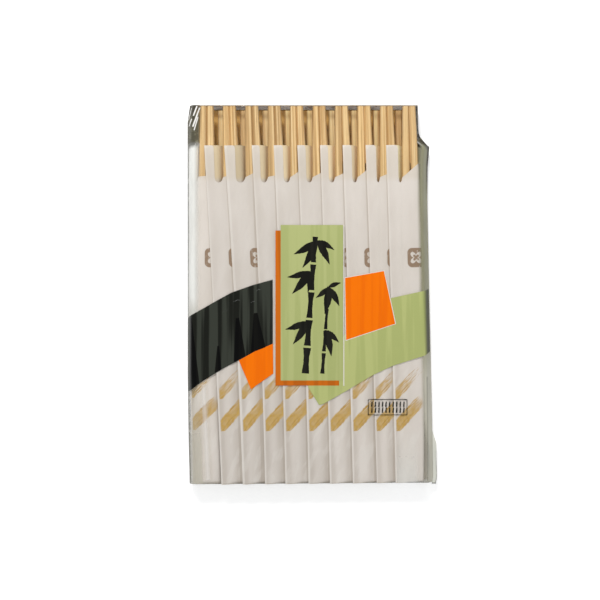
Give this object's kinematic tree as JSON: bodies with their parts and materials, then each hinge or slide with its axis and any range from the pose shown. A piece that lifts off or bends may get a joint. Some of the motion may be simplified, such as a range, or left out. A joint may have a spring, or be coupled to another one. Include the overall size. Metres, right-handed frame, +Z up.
{
  "type": "pack of disposable wooden chopsticks",
  "caption": "Flat clear film pack of joined wooden chopstick pairs, each in a half-open paper sleeve, laid side by side in layers.",
  "frame": {"origin": "middle of the pack's footprint, on the surface that it lies on", "axes": "+Y along the sticks towards their bare heads, +X across the row to the right, +Z up through the thickness"},
  "size_m": [0.1416, 0.2152, 0.0123],
  "materials": {
    "wood": "sawn and lightly planed, unvarnished",
    "paper": "thin matt wrapping paper",
    "film": "clear glossy film with printed colour fields"
  },
  "bodies": {
    "root": {"front_pair_01": "wood", "front_pair_02": "wood", "front_pair_03": "wood", "front_pair_04": "wood", "front_pair_05": "wood", "front_pair_06": "wood", "front_pair_07": "wood", "front_pair_08": "wood", "front_pair_09": "wood", "front_pair_10": "wood", "back_pair_01": "wood", "back_pair_02": "wood", "back_pair_03": "wood", "back_pair_04": "wood", "back_pair_05": "wood", "back_pair_06": "wood", "back_pair_07": "wood", "back_pair_08": "wood", "back_pair_09": "wood", "back_pair_10": "wood", "front_sleeve_01": "paper", "front_sleeve_02": "paper", "front_sleeve_03": "paper", "front_sleeve_04": "paper", "front_sleeve_05": "paper", "front_sleeve_06": "paper", "front_sleeve_07": "paper", "front_sleeve_08": "paper", "front_sleeve_09": "paper", "front_sleeve_10": "paper", "back_sleeve_01": "paper", "back_sleeve_02": "paper", "back_sleeve_03": "paper", "back_sleeve_04": "paper", "back_sleeve_05": "paper", "back_sleeve_06": "paper", "back_sleeve_07": "paper", "back_sleeve_08": "paper", "back_sleeve_09": "paper", "back_sleeve_10": "paper", "film_bag": "film"}
  },
  "joints": []
}
